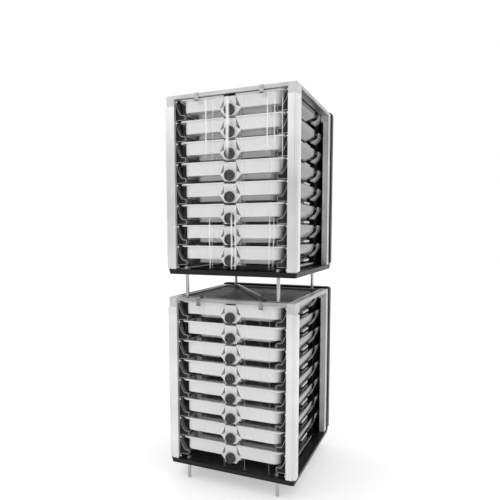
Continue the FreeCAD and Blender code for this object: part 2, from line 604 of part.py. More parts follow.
def basket_bounds():
    """Plan of the egg basket inside the tub: x0, x1, y0, y1."""
    side = TUB_HALF_WIDTH - TUB_WALL - BASKET_GAP
    front = TRAY_FRONT_Y + TUB_FRONT_INSET + TUB_WALL + BASKET_FRONT_GAP
    rear = TRAY_REAR_Y - TUB_REAR_INSET - TUB_WALL - BASKET_GAP
    return -side, side, front, rear


def egg_basket():
    """Open basket with a thin screen floor, standing on four feet."""
    x0, x1, y0, y1 = basket_bounds()
    bottom = -TUB_DEPTH + TUB_WALL + BASKET_LIFT
    radius = TUB_CORNER_RADIUS - TUB_WALL
    basket = rounded_block(x0, x1, y0, y1, bottom, bottom + BASKET_HEIGHT, radius)
    basket = basket.cut(rounded_block(
        x0 + BASKET_WALL, x1 - BASKET_WALL, y0 + BASKET_WALL, y1 - BASKET_WALL,
        bottom + BASKET_FLOOR, bottom + BASKET_HEIGHT + 1.0, radius - BASKET_WALL))
    for x in (x0 + BASKET_FOOT_INSET, x1 - BASKET_FOOT_INSET):
        for y in (y0 + 40.0, y1 - 40.0):
            basket = basket.fuse(cylinder(6.0, BASKET_LIFT, (x, y, bottom - BASKET_LIFT), UP))
    return basket.removeSplitter()


def basket_lid():
    """Lid frame on the basket, with crossing bars and two finger tabs at the front."""
    x0, x1, y0, y1 = basket_bounds()
    bottom = -TUB_DEPTH + TUB_WALL + BASKET_LIFT + BASKET_HEIGHT
    top = bottom + LID_THICKNESS
    radius = TUB_CORNER_RADIUS - TUB_WALL
    lid = rounded_block(x0, x1, y0, y1, bottom, top, radius)
    lid = lid.cut(rounded_block(x0 + LID_BORDER, x1 - LID_BORDER, y0 + LID_BORDER, y1 - LID_BORDER,
                                bottom - 1.0, top + 1.0, radius - LID_BORDER / 2.0))
    middle_y = (y0 + y1) / 2.0
    bars = [box(x0 + LID_BAR, x1 - LID_BAR, middle_y - LID_BAR / 2.0, middle_y + LID_BAR / 2.0, bottom, top),
            box(-LID_BAR / 2.0, LID_BAR / 2.0, y0 + LID_BAR, y1 - LID_BAR, bottom, top)]
    for x in (-TAB_X, TAB_X):
        bars.append(box(x - TAB_WIDTH / 2.0, x + TAB_WIDTH / 2.0, y0 + 2.0, y0 + 2.0 + TAB_THICKNESS,
                        bottom, TAB_RISE))
    return lid.fuse(bars).removeSplitter()


def drain_plug():
    """Push-in plug: a stem in the drain bore and a ringed knob in front of the plate."""
    plate_y = TRAY_FRONT_Y + 1.0
    knob_y = plate_y - PLUG_GAP
    stem = cylinder(PLUG_STEM_RADIUS, PLUG_STEM_LENGTH, (0.0, knob_y, -PLUG_DROP), FreeCAD.Vector(0, 1, 0))
    knob = cylinder(PLUG_RADIUS, PLUG_LENGTH, (0.0, knob_y, -PLUG_DROP), FORWARD)
    knob = knob.makeFillet(2.0, [edge for edge in knob.Edges if edge.BoundBox.YMax < knob_y - 1.0])
    face_y = knob_y - PLUG_LENGTH
    groove = cylinder(17.0, 2.0, (0.0, face_y, -PLUG_DROP), FreeCAD.Vector(0, 1, 0))
    groove = groove.cut(cylinder(10.0, 2.0, (0.0, face_y, -PLUG_DROP), FreeCAD.Vector(0, 1, 0)))
    return knob.fuse(stem).cut(groove).removeSplitter()


# ---------------------------------------------------------------- assembly
def build_cabinet(name, lift):
    """Write every node of one cabinet."""
    front_rail = cross_rail(FRONT_Y, FRONT_Y + FRONT_RAIL_DEPTH, LEG_FRONT_Y)
    rear_rail = cross_rail(REAR_POST_BACK_Y - FRONT_RAIL_DEPTH, REAR_POST_BACK_Y, LEG_REAR_Y)
    front_block = corner_block(FRONT_Y, FRONT_Y + FRONT_BLOCK_DEPTH)
    rear_block = corner_block(REAR_POST_BACK_Y - REAR_BLOCK_DEPTH, REAR_POST_BACK_Y)
    runner = runner_panel()
    nodes = {
        "base_pan": [base_pan()],
        "front_posts": both_sides(front_post()),
        "rear_posts": both_sides(rear_post()),
        "corner_blocks": both_sides(front_block) + both_sides(rear_block),
        "top_rails": [front_rail, rear_rail] + both_sides(side_rail()),
        "legs": legs(lift),
        "left_runner": [mirrored(runner)],
        "right_runner": [runner],
        "rear_panel": [rear_panel()],
        "top_cover": [top_cover()],
        "brace": [brace()],
        "front_cover": [front_cover()],
        "cover_clips": [cover_clip(-CLIP_X), cover_clip(CLIP_X)],
        "fasteners": fasteners(),
    }
    for node, shapes in nodes.items():
        export(name + "_" + node, shapes, lift)
    tray = [tub(), egg_basket(), basket_lid()]
    plug = [drain_plug()]
    for level in range(TRAYS_PER_CABINET):
        height = lift + FIRST_RIM_Z - level * TRAY_PITCH
        export("{}_tray_{}".format(name, level + 1), tray, height)
        export("{}_drain_plug_{}".format(name, level + 1), plug, height)


os.makedirs("parts", exist_ok=True)
for cabinet_name, cabinet_lift in CABINETS:
    build_cabinet(cabinet_name, cabinet_lift)
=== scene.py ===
"""An egg incubator: two stacked cabinets of eight sliding trays, dressed for rendering on its CAD frame."""
import math

import bmesh
import bpy
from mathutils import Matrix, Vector


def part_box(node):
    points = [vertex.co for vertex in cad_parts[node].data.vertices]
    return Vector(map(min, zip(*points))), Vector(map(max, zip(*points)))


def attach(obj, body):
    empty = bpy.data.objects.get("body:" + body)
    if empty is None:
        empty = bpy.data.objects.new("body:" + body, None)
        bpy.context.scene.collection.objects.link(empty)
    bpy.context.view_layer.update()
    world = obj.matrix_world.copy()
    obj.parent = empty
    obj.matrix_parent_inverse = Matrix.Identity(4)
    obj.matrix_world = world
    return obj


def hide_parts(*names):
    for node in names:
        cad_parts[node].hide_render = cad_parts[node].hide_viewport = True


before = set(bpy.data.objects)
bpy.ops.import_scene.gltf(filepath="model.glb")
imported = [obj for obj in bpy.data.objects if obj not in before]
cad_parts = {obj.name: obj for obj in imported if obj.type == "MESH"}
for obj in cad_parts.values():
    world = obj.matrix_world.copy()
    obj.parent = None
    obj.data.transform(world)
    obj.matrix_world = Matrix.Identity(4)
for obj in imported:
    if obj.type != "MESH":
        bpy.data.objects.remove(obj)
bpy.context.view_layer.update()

CABINETS = ("lower", "upper")
TRAYS = range(1, 9)
MM = 0.001

# Each part is drawn in its cabinet's own millimetres, whose base pan starts at y -317 and z 0.
# These carry it into the frame.
BASE_FRONT_Y = -317
LIFT = {c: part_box(f"{c}_base_pan")[0].z for c in CABINETS}
SHIFT_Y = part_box("lower_base_pan")[0].y - BASE_FRONT_Y * MM
RIM_ABOVE_PLUG = 64 * MM


def plug_centre(cabinet, number):
    lo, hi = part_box(f"{cabinet}_drain_plug_{number}")
    return (lo + hi) / 2


def rim_z(cabinet, number):
    return plug_centre(cabinet, number).z + RIM_ABOVE_PLUG


TRAY_PITCH = rim_z("lower", 1) - rim_z("lower", 2)


def in_frame(cabinet, x, y, z):
    """A point in a cabinet's own millimetres, carried into the frame."""
    return (x * MM, y * MM + SHIFT_Y, z * MM + LIFT[cabinet])


# ---------------------------------------------------------------- materials

def node_material(name):
    material = bpy.data.materials.new(name)
    material.use_nodes = True
    nodes = material.node_tree.nodes
    return material, nodes, material.node_tree.links, nodes["Principled BSDF"]


def object_noise(nodes, links, scale, detail=3.0, stretch=(1, 1, 1)):
    """Noise in the object's own space, drawn out along an axis by stretch."""
    place = nodes.new("ShaderNodeTexCoord")
    mapping = nodes.new("ShaderNodeMapping")
    mapping.inputs["Scale"].default_value = stretch
    noise = nodes.new("ShaderNodeTexNoise")
    noise.inputs["Scale"].default_value = scale
    noise.inputs["Detail"].default_value = detail
    links.new(place.outputs["Object"], mapping.inputs["Vector"])
    links.new(mapping.outputs["Vector"], noise.inputs["Vector"])
    return noise.outputs["Fac"]


def spread(nodes, links, source, low, high):
    """Source's middle range spread from low to high."""
    reach = nodes.new("ShaderNodeMapRange")
    reach.inputs["From Min"].default_value = 0.3
    reach.inputs["From Max"].default_value = 0.7
    reach.inputs["To Min"].default_value = low
    reach.inputs["To Max"].default_value = high
    links.new(source, reach.inputs["Value"])
    return reach.outputs["Result"]


def smooth_ramp(nodes, links, source, start_end, low_high=(0.0, 1.0)):
    """Eases from the first of low_high to the second as source goes from start to end."""
    reach = nodes.new("ShaderNodeMapRange")
    reach.interpolation_type = "SMOOTHSTEP"
    reach.inputs["From Min"].default_value, reach.inputs["From Max"].default_value = start_end
    reach.inputs["To Min"].default_value, reach.inputs["To Max"].default_value = low_high
    links.new(source, reach.inputs["Value"])
    return reach.outputs["Result"]


def two_tone(nodes, links, source, dark, light):
    ramp = nodes.new("ShaderNodeValToRGB")
    ramp.color_ramp.elements[0].position = 0.3
    ramp.color_ramp.elements[0].color = (*dark, 1)
    ramp.color_ramp.elements[1].position = 0.7
    ramp.color_ramp.elements[1].color = (*light, 1)
    links.new(source, ramp.inputs["Fac"])
    return ramp.outputs["Color"]


def bump(nodes, links, bsdf, source, height, strength):
    node = nodes.new("ShaderNodeBump")
    node.inputs["Strength"].default_value = strength
    node.inputs["Distance"].default_value = height
    links.new(source, node.inputs["Height"])
    links.new(node.outputs["Normal"], bsdf.inputs["Normal"])


def finish_of(name, dark, light, rough, metal=0.0, grain=90.0, stretch=(1, 1, 1), coat=0.0,
              relief=0.0002, strength=0.25, specular=0.5, blotch=7.0):
    """A plastic or metal whose colour, gloss and surface vary a little."""
    material, nodes, links, bsdf = node_material(name)
    fine = object_noise(nodes, links, grain, 4.0, stretch)
    broad = object_noise(nodes, links, blotch, 2.0)
    links.new(two_tone(nodes, links, broad, dark, light), bsdf.inputs["Base Color"])
    links.new(spread(nodes, links, fine, rough * 0.85, rough * 1.15), bsdf.inputs["Roughness"])
    bump(nodes, links, bsdf, fine, relief, strength)
    bsdf.inputs["Metallic"].default_value = metal
    bsdf.inputs["Specular IOR Level"].default_value = specular
    bsdf.inputs["Coat Weight"].default_value = coat
    bsdf.inputs["Coat Roughness"].default_value = 0.08
    return material


def grey(value):
    return (value, value, value)


ALUMINIUM = finish_of("aluminium", (0.74, 0.74, 0.75), (0.86, 0.86, 0.87), 0.36, metal=0.45,
                      grain=60, stretch=(1, 1, 0.04), strength=0.10)
BLOCK = finish_of("cast_block", grey(0.56), grey(0.66), 0.45, metal=0.2, grain=220, strength=0.2)
RAIL = finish_of("rail_aluminium", grey(0.34), grey(0.48), 0.30, metal=0.8, grain=50,
                 stretch=(0.04, 0.04, 1), strength=0.10)
BLACK_MOULDING = finish_of("black_moulding", grey(0.008), grey(0.014), 0.36, grain=420, specular=0.18)
BLACK_SHEET = finish_of("black_sheet", grey(0.012), grey(0.022), 0.16, grain=40, coat=1.0, strength=0.05)
# Mid grey on the runner sheet's cut edges: a painted highlight along the S-shaped front edge of the black
# sheet.
SHEET_EDGE_HIGHLIGHT = finish_of("black_sheet_edge_painted_highlight", grey(0.30), grey(0.42), 0.5, grain=300)
DARK_COVER = finish_of("dark_cover", (0.012, 0.015, 0.013), (0.020, 0.025, 0.022), 0.42, grain=25,
                       strength=0.04, specular=0.08)
TRAY_PLASTIC = finish_of("tray_plastic", (0.76, 0.76, 0.765), (0.81, 0.81, 0.815), 0.38, grain=500,
                         strength=0.15)
PLUG_PLASTIC = finish_of("plug_plastic", grey(0.020), grey(0.030), 0.42, grain=600)
STEEL_ROD = finish_of("steel_rod", grey(0.42), grey(0.55), 0.28, metal=1.0, grain=120,
                      stretch=(1, 1, 0.2), strength=0.08)
BRIGHT_STEEL = finish_of("bright_steel", grey(0.24), grey(0.44), 0.34, metal=1.0, grain=200,
                         strength=0.08)
NYLON = finish_of("white_nylon", grey(0.80), grey(0.86), 0.45, grain=350, strength=0.12)
SATIN_STEEL = finish_of("satin_steel", grey(0.40), grey(0.54), 0.34, metal=0.7, grain=160,
                        strength=0.08)

CAD_FINISH = {
    "base_pan": BLACK_MOULDING, "front_posts": ALUMINIUM, "rear_posts": ALUMINIUM,
    "corner_blocks": BLOCK, "top_rails": RAIL, "legs": STEEL_ROD,
    "rear_panel": BLACK_MOULDING, "cover_clips": BRIGHT_STEEL,
}


def clear_vinyl(name, folds, haze):
    """Clear sheet with painted highlights along its creases, where it turns whiter and more opaque. Folds are
    as in UPPER_FOLDS below.
    """
    material, nodes, links, bsdf = node_material(name)
    place = nodes.new("ShaderNodeTexCoord")
    apart = nodes.new("ShaderNodeSeparateXYZ")
    links.new(place.outputs["Object"], apart.inputs["Vector"])
    waver = object_noise(nodes, links, 5.0, 2.0)

    def math_node(operation, *values):
        node = nodes.new("ShaderNodeMath")
        node.operation = operation
        for socket, value in zip(node.inputs, values):
            if isinstance(value, (int, float)):
                socket.default_value = value
            else:
                links.new(value, socket)
        return node.outputs["Value"]

    wander = math_node("MULTIPLY", math_node("SUBTRACT", waver, 0.5), 0.016)
    across = math_node("ADD", apart.outputs["X"], wander)
    painted_streaks = None
    # Each fold adds a painted highlight line, raising the alpha of the near-white sheet along it.
    for x, width, painted_highlight, low, high in folds:
        gap = math_node("ABSOLUTE", math_node("SUBTRACT", across, x))
        line = smooth_ramp(nodes, links, gap, (width, 0.0), (0.0, painted_highlight))
        for fade in ((low - 0.03, low + 0.05), (high + 0.02, high - 0.05)):
            line = math_node("MULTIPLY", line, smooth_ramp(nodes, links, apart.outputs["Z"], fade))
        painted_streaks = line if painted_streaks is None else math_node("MAXIMUM", painted_streaks, line)
    cloud = object_noise(nodes, links, 6.0, 3.0, (1, 1, 0.35))
    cloud = spread(nodes, links, cloud, haze * 0.5, haze * 1.5)
    alpha = math_node("MINIMUM", math_node("ADD", painted_streaks, cloud), 0.95)
    links.new(alpha, bsdf.inputs["Alpha"])
    tint = two_tone(nodes, links, waver, (0.90, 0.91, 0.92), (0.97, 0.975, 0.98))
    links.new(tint, bsdf.inputs["Base Color"])
    fine = object_noise(nodes, links, 30.0, 3.0, (1, 1, 0.3))
    links.new(spread(nodes, links, fine, 0.08, 0.2), bsdf.inputs["Roughness"])
    bump(nodes, links, bsdf, fine, 0.0015, 0.3)
    bsdf.inputs["IOR"].default_value = 1.53
    return material


# ---------------------------------------------------------------- mesh helpers

def finished_mesh(name, bm, *materials, sharp=35):
    bmesh.ops.recalc_face_normals(bm, faces=bm.faces)
    mesh = bpy.data.meshes.new(name)
    bm.to_mesh(mesh)
    bm.free()
    mesh.shade_smooth()
    mesh.set_sharp_from_angle(angle=math.radians(sharp))
    for material in materials:
        mesh.materials.append(material)
    return mesh


def add_object(name, data):
    obj = bpy.data.objects.new(name, data)
    bpy.context.scene.collection.objects.link(obj)
    return obj


def add_mesh(name, bm, *materials, sharp=35):
    return add_object(name, finished_mesh(name, bm, *materials, sharp=sharp))


def add_grid(bm, grid):
    """Quads between rows of points."""
    rows = [[bm.verts.new(point) for point in row] for row in grid]
    for a, b in zip(rows, rows[1:]):
        for i in range(len(a) - 1):
            bm.faces.new((a[i], a[i + 1], b[i + 1], b[i]))


def thicken(obj, thickness, rim_material=0):
    solid = obj.modifiers.new("thickness", "SOLIDIFY")
    solid.thickness = thickness
    solid.offset = 0
    solid.material_offset_rim = rim_material


def soften(obj, width):
    """Rounds every edge that turns more than a shallow curve does."""
    bevel = obj.modifiers.new("edges", "BEVEL")
    bevel.width = width
    bevel.segments = 2
    bevel.limit_method = "ANGLE"
    bevel.angle_limit = math.radians(35)
    bevel.use_clamp_overlap = True


def add_slab(bm, lo, hi):
    """A box between two corners."""
    add_rings(bm, [[(x, lo[1], lo[2]), (x, hi[1], lo[2]), (x, hi[1], hi[2]), (x, lo[1], hi[2])]
                   for x in (lo[0], hi[0])])


def rounded_rectangle(x0, x1, y0, y1, radius, steps=8):
    """Outline points, anticlockwise from above."""
    points = []
    corners = ((x1 - radius, y1 - radius, 0), (x0 + radius, y1 - radius, 90),
               (x0 + radius, y0 + radius, 180), (x1 - radius, y0 + radius, 270))
    for cx, cy, start in corners:
        for i in range(steps + 1):
            turn = math.radians(start + 90 * i / steps)
            points.append((cx + radius * math.cos(turn), cy + radius * math.sin(turn)))
    return points


def add_rings(bm, rings):
    """Closed loops of equal length joined one to the next, with a face at each end."""
    loops = [[bm.verts.new(p) for p in ring] for ring in rings]
    for a, b in zip(loops, loops[1:]):
        for i in range(len(a)):
            j = (i + 1) % len(a)
            bm.faces.new((a[i], a[j], b[j], b[i]))
    bm.faces.new(list(reversed(loops[0])))
    bm.faces.new(loops[-1])


def eased_path(points, radii, steps=6):
    """The path with each inner corner rounded by a smooth bend of about that radius."""
    out = [points[0]]
    for before, corner, after, radius in zip(points, points[1:], points[2:], radii):
        corner = Vector(corner)
        back, ahead = Vector(before) - corner, Vector(after) - corner
        reach = min(radius, back.length * 0.48, ahead.length * 0.48)
        start = corner + back.normalized() * reach
        end = corner + ahead.normalized() * reach
        for i in range(steps + 1):
            t = i / steps
            out.append(tuple(start * (1 - t) ** 2 + corner * 2 * t * (1 - t) + end * t ** 2))
    out.append(points[-1])
    return out


# ---------------------------------------------------------------- pieces

FRAME_EDGE, TRAY_EDGE, SMALL_EDGE = 1.2 * MM, 0.8 * MM, 0.6 * MM


def dress_cad_nodes():
    """The CAD nodes that stay are painted, and their edges softened."""
    for cabinet in CABINETS:
        for part, material in CAD_FINISH.items():
            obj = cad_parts[f"{cabinet}_{part}"]
            paint(obj, material)
            soften(obj, SMALL_EDGE if part == "legs" else FRAME_EDGE)
        for i in TRAYS:
            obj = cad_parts[f"{cabinet}_tray_{i}"]
            paint(obj, TRAY_PLASTIC)
            soften(obj, TRAY_EDGE)
        paint_fasteners(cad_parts[f"{cabinet}_fasteners"])


def paint(obj, *materials):
    obj.data.materials.clear()
    for material in materials:
        obj.data.materials.append(material)


def islands(mesh):
    """Faces grouped by the loose part they belong to."""
    parent = {}

    def find(a):
        while parent.setdefault(a, a) != a:
            parent[a] = parent[parent[a]]
            a = parent[a]
        return a

    keys = [tuple(round(c, 6) for c in v.co) for v in mesh.vertices]
    for face in mesh.polygons:
        first = find(keys[face.vertices[0]])
        for v in face.vertices[1:]:
            parent[find(keys[v])] = first
    groups = {}
    for face in mesh.polygons:
        groups.setdefault(find(keys[face.vertices[0]]), []).append(face)
    return [(faces, [mesh.vertices[v].co for f in faces for v in f.vertices])
            for faces in groups.values()]


def paint_fasteners(obj):
    """Nuts stay steel, screw heads and slide blocks are white nylon, the rear struts satin steel."""
    steel, nylon, satin = range(3)
    paint(obj, STEEL_ROD, NYLON, SATIN_STEEL)
    for faces, points in islands(obj.data):
        wide, deep, tall = (max(p[k] for p in points) - min(p[k] for p in points) for k in range(3))
        long_piece = deep > 80 * MM
        index = steel
        if long_piece and tall > 40 * MM:
            index = satin
        elif long_piece or max(wide, tall) < 12 * MM:
            index = nylon
        for face in faces:
            face.material_index = index
    soften(obj, SMALL_EDGE)


# One level of a runner, as (x, height above the tray's rim), and the bend at each of its corners
# after the first. The folded sheet goes out over the rim, down in an S, and back in to a ledge.
LEVELS = 9
RUNNER_PROFILE = ((219, 4.5), (264, 4.5), (262, -28), (249, -55), (240, -67.4), (219, -67.4))
RUNNER_BENDS = (6, 26, 22, 6, 4, 4)
RUNNER_RISE = RUNNER_PROFILE[0][1]
RUNNER_THICKNESS = 2.4
RUNNER_FRONT, RUNNER_WALL_REAR = -300, 182
RUNNER_FOOT, RUNNER_HEAD = 23, 781
RUNNER_WALL_X = 221
# The sheet's rear edge is cut back below the middle of its side: (y, height above the rim).
CUT_TOP, CUT_MIDDLE, CUT_LOW = (183, 1), (172, -28), (92, -57)
# Strips that carry the sheet, as (x0, x1, y0, y1): at the front post, along the rear, and across.
RUNNER_STRIPS = ((256.8, 266.5, -299.6, -297), (245, 248, 179, 281.5), (218, 248, 179, 182))


def runner_rear(x, rise):
    """How far back the sheet runs at a height above its tray's rim."""
    if x < RUNNER_WALL_X:
        return RUNNER_WALL_REAR
    middle, turn = CUT_MIDDLE
    if rise > turn:
        return middle + (CUT_TOP[0] - middle) * min(1, (rise - turn) / (CUT_TOP[1] - turn))
    return max(CUT_LOW[0], middle + (middle - CUT_LOW[0]) * (rise - turn) / (turn - CUT_LOW[1]))


def runner_rows(cabinet):
    """(x, z, height above the nearest rim) down the folded sheet's smooth path."""
    pitch = TRAY_PITCH / MM
    first_rim = (rim_z(cabinet, 1) - LIFT[cabinet]) / MM
    corners = [(x, first_rim - level * pitch + rise) for level in range(LEVELS) for x, rise in RUNNER_PROFILE]
    path = eased_path(corners, (RUNNER_BENDS * LEVELS)[:len(corners) - 2])
    crest = RUNNER_RISE + 0.1
    return [(x, min(z, RUNNER_HEAD), crest - (first_rim + crest - z) % pitch)
            for x, z in path if RUNNER_FOOT <= z <= RUNNER_HEAD + 4]


def build_runner(cabinet, side):
    sign = 1 if side == "right" else -1
    rows = runner_rows(cabinet)
    columns = 7
    grid = []
    for x, z, rise in rows:
        run = runner_rear(x, rise) - RUNNER_FRONT
        grid.append([in_frame(cabinet, sign * x, RUNNER_FRONT + run * j / columns, z)
                     for j in range(columns + 1)])
    bm = bmesh.new()
    add_grid(bm, grid)
    obj = add_mesh(f"{cabinet}_{side}_runner_skin", bm, BLACK_SHEET, SHEET_EDGE_HIGHLIGHT, sharp=50)
    # The sheet's rim takes the second material, the painted edge highlight.
    thicken(obj, RUNNER_THICKNESS * MM, rim_material=1)
    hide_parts(f"{cabinet}_{side}_runner")
    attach(obj, "frame")

    bm = bmesh.new()
    add_end_plate(bm, cabinet, rows, sign)
    for x0, x1, y0, y1 in RUNNER_STRIPS:
        add_slab(bm, in_frame(cabinet, sign * x0, y0, RUNNER_FOOT),
                 in_frame(cabinet, sign * x1, y1, RUNNER_HEAD))
    web = add_mesh(f"{cabinet}_{side}_runner_web", bm, BLACK_MOULDING)
    soften(web, SMALL_EDGE)
    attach(web, "frame")


def add_end_plate(bm, cabinet, rows, sign):
    """A thin plate that closes the front of the hollows outside the folded sheet."""
    outer, front, back = 258.0, -299.2, -297.2
    least_width, least_step = 0.2, 0.4
    levels = []
    for x, z, _ in rows:
        if levels and abs(levels[-1][1] - z) <= least_step:
            levels[-1] = (min(x, levels[-1][0]), levels[-1][1])
        else:
            levels.append((x, z))
    rings = []
    for x, z in levels:
        inner = min(x, outer - least_width)
        rings.append([in_frame(cabinet, sign * px, py, z)
                      for px, py in ((inner, front), (outer, front), (outer, back), (inner, back))])
    add_rings(bm, rings)


# Behind each guide, past a dark seam, a satin tail runs on to the rear post. Its rear end slants
# between two points, as (y, height above the rim).
TAIL_GAP = 7
TAIL_LOW, TAIL_HIGH = (190, -60), (281, -20)
TAIL_TOP = 3
TAIL_THICKNESS = 1.6
TAIL_X, TAIL_LEAN, TAIL_FOLD = 264.1, 0.27, -5


def tail_rear(rise):
    """How far back a guide's tail reaches at a height above its tray's rim."""
    run = (rise - TAIL_LOW[1]) / (TAIL_HIGH[1] - TAIL_LOW[1])
    return TAIL_LOW[0] + (TAIL_HIGH[0] - TAIL_LOW[0]) * max(0.0, min(1.0, run))


def build_tails(cabinet, side):
    sign = 1 if side == "right" else -1
    rows, columns = 12, 4
    bm = bmesh.new()
    for number in TRAYS:
        rim = (rim_z(cabinet, number) - LIFT[cabinet]) / MM
        grid = []
        for i in range(rows + 1):
            rise = TAIL_LOW[1] + (TAIL_TOP - TAIL_LOW[1]) * i / rows
            x = TAIL_X + TAIL_LEAN * (min(rise, TAIL_FOLD) - TAIL_FOLD)
            front = runner_rear(x, rise) + TAIL_GAP
            run = tail_rear(rise) - front
            grid.append([in_frame(cabinet, sign * x, front + run * j / columns, rim + rise)
                         for j in range(columns + 1)])
        add_grid(bm, grid)
    tails = add_mesh(f"{cabinet}_{side}_runner_tails", bm, SATIN_STEEL)
    thicken(tails, TAIL_THICKNESS * MM)
    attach(tails, "frame")


# The drain plug's knob, as (radius, depth behind its face): a button, a ring groove, a raised
# ring, a second groove and the rim. A stem behind it fills the neck.
PLUG_KNOB = (
    (0.02, 0.9), (7.6, 0.9), (8.6, 0.2), (9.4, 0.2), (10.2, 2.6), (11.2, 3.2), (15.8, 3.2), (16.8, 2.6),
    (17.6, 0.3), (18.6, 0), (21.3, 0), (22.7, 0.5), (23.4, 1.6), (23.5, 3.0), (23.5, 12.2), (22.9, 13.5),
)
PLUG_STEM_RADIUS, PLUG_STEM_TIP = 14.95, 13.9


def plug_mesh():
    """A turned knob and stem about the Y axis, with its face at the origin."""
    lo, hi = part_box("lower_drain_plug_1")
    depth = (hi.y - lo.y) / MM
    stem = ((PLUG_STEM_RADIUS, PLUG_KNOB[-1][1]), (PLUG_STEM_RADIUS, depth - 1),
            (PLUG_STEM_TIP, depth))
    steps = 48
    turns = [2 * math.pi * i / steps for i in range(steps)]
    bm = bmesh.new()
    add_rings(bm, [[(radius * MM * math.cos(a), y * MM, radius * MM * math.sin(a)) for a in turns]
                   for radius, y in PLUG_KNOB + stem])
    return finished_mesh("drain_plug", bm, PLUG_PLASTIC, sharp=40)


def place_plugs():
    mesh = plug_mesh()
    for cabinet in CABINETS:
        for i in TRAYS:
            name = f"{cabinet}_drain_plug_{i}"
            centre = plug_centre(cabinet, i)
            knob = add_object(f"{name}_knob", mesh)
            knob.location = (centre.x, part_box(name)[0].y, centre.z)
            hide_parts(name)
            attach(knob, name)


# The lid from its edge inwards, as (inset, share of its height, corner radius): a rolled border,
# then a shallow dish.
LID_STEPS = (
    (0, 0.0, 10), (0, 0.6, 10), (1.2, 1.0, 10), (14, 1.0, 9), (17, 0.9, 9), (22, 0.35, 8),
    (26, 0.22, 8), (60, 0.26, 6), (120, 0.34, 5),
)


def build_lid(cabinet):
    lo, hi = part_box(f"{cabinet}_top_cover")
    rings = []
    for inset, share, radius in LID_STEPS:
        inset *= MM
        ring = rounded_rectangle(lo.x + inset, hi.x - inset, lo.y + inset, hi.y - inset, radius * MM)
        rings.append([(x, y, lo.z + share * (hi.z - lo.z)) for x, y in ring])
    bm = bmesh.new()
    add_rings(bm, rings)
    lid = add_mesh(f"{cabinet}_top_lid", bm, DARK_COVER, sharp=60)
    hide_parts(f"{cabinet}_top_cover")
    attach(lid, "frame")


def wire_along(name, points, radius, material):
    curve = bpy.data.curves.new(name, "CURVE")
    curve.dimensions = "3D"
    curve.bevel_depth = radius
    curve.bevel_resolution = 3
    curve.use_fill_caps = True
    spline = curve.splines.new("POLY")
    spline.points.add(len(points) - 1)
    for point, place in zip(spline.points, points):
        point.co = (*place, 1)
    curve.materials.append(material)
    return add_object(name, curve)


# The brace, in millimetres: a strap from the rear left corner, a wound spring, and a hook.
BRACE_INSET, BRACE_HEIGHT = 4, 5.0
STRAP_THICKNESS, STRAP_HALF_WIDTH = 2.2, 6
SPRING_RUN, SPRING_LENGTH, SPRING_TURNS, SPRING_RADIUS = 118, 84, 24, 3.9
WIRE_RADIUS, HOOK_RADIUS = 0.95, 7


def build_brace(cabinet):
    """A strap and tension spring lie across the lid, from one corner to the other."""
    lo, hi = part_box(f"{cabinet}_brace")
    inset = BRACE_INSET * MM
    level = lo.z + BRACE_HEIGHT * MM
    rear_end = Vector((lo.x + inset, hi.y - inset, level))
    front_end = Vector((hi.x - inset, lo.y + inset, level))
    along = (front_end - rear_end).normalized()
    side = Vector((along.y, -along.x, 0))
    up = Vector((0, 0, 1))
    length = (front_end - rear_end).length
    strap_length = length - SPRING_RUN * MM
    share = strap_length / length

    rings = []
    half_widths = ((0, 2.5), (0.004, 5), (0.03, STRAP_HALF_WIDTH),
                   (share - 0.02, STRAP_HALF_WIDTH), (share, 3))
    for t, half in half_widths:
        centre = rear_end.lerp(front_end, t)
        rings.append([centre + side * half * MM * across + up * STRAP_THICKNESS / 2 * MM * above
                      for across, above in ((-1, -1), (1, -1), (1, 1), (-1, 1))])
    bm = bmesh.new()
    add_rings(bm, rings)
    strap = add_mesh(f"{cabinet}_brace_strap", bm, BRIGHT_STEEL)
    soften(strap, 0.5 * MM)
    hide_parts(f"{cabinet}_brace")

    steps = SPRING_TURNS * 14
    coil = []
    for i in range(steps + 1):
        turn = 2 * math.pi * SPRING_TURNS * i / steps
        centre = rear_end + along * (strap_length + SPRING_LENGTH * MM * i / steps)
        coil.append(centre + SPRING_RADIUS * MM * (side * math.cos(turn) + up * math.sin(turn)))
    tail = [coil[-1] + along * 4 * MM, front_end - along * 2 * HOOK_RADIUS * MM]
    hook = [front_end - along * (8 + HOOK_RADIUS * math.cos(a)) * MM + side * HOOK_RADIUS * math.sin(a) * MM
            for a in (math.radians(d) for d in range(0, 300, 20))]
    spring = wire_along(f"{cabinet}_brace_spring", coil + tail + hook, WIRE_RADIUS * MM, STEEL_ROD)
    for piece in (strap, spring):
        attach(piece, "frame")


# The clear front sheets. Folds are (x, half width, painted highlight strength, low z, high z) in metres.
UPPER_FOLDS = (
    # creases near the top, each with a painted highlight
    (-0.106, 0.006, 0.85, 1.50, 1.765), (-0.074, 0.004, 0.35, 1.46, 1.76),
    (-0.003, 0.013, 0.95, 1.50, 1.76), (0.181, 0.005, 0.75, 1.50, 1.74),
    (0.213, 0.005, 0.60, 1.50, 1.74), (0.247, 0.003, 0.8, 1.44, 1.745),
    # creases near the bottom, mostly in pairs, each with a painted highlight
    (-0.089, 0.005, 0.7, 1.00, 1.24), (-0.076, 0.003, 0.4, 1.00, 1.20),
    (0.016, 0.007, 0.9, 1.00, 1.26), (0.033, 0.006, 0.85, 1.00, 1.25),
    (0.191, 0.004, 0.7, 1.02, 1.24), (0.209, 0.004, 0.6, 1.02, 1.24),
    # fine painted highlight lines from top to bottom
    (-0.023, 0.0012, 0.35, 1.00, 1.76), (0.077, 0.0012, 0.4, 1.00, 1.76),
    (0.194, 0.0012, 0.3, 1.00, 1.76),
)
LOWER_FOLDS = (
    (-0.027, 0.0014, 0.40, 0.10, 0.86), (0.077, 0.0014, 0.40, 0.10, 0.86),
    (0.193, 0.0014, 0.35, 0.10, 0.86),
    (-0.120, 0.0012, 0.18, 0.10, 0.80), (0.150, 0.003, 0.12, 0.40, 0.84),
)
WIDE_FOLD = 2 * MM    # narrower folds only show as lines
MOST_RIPPLE = 1.2 * MM


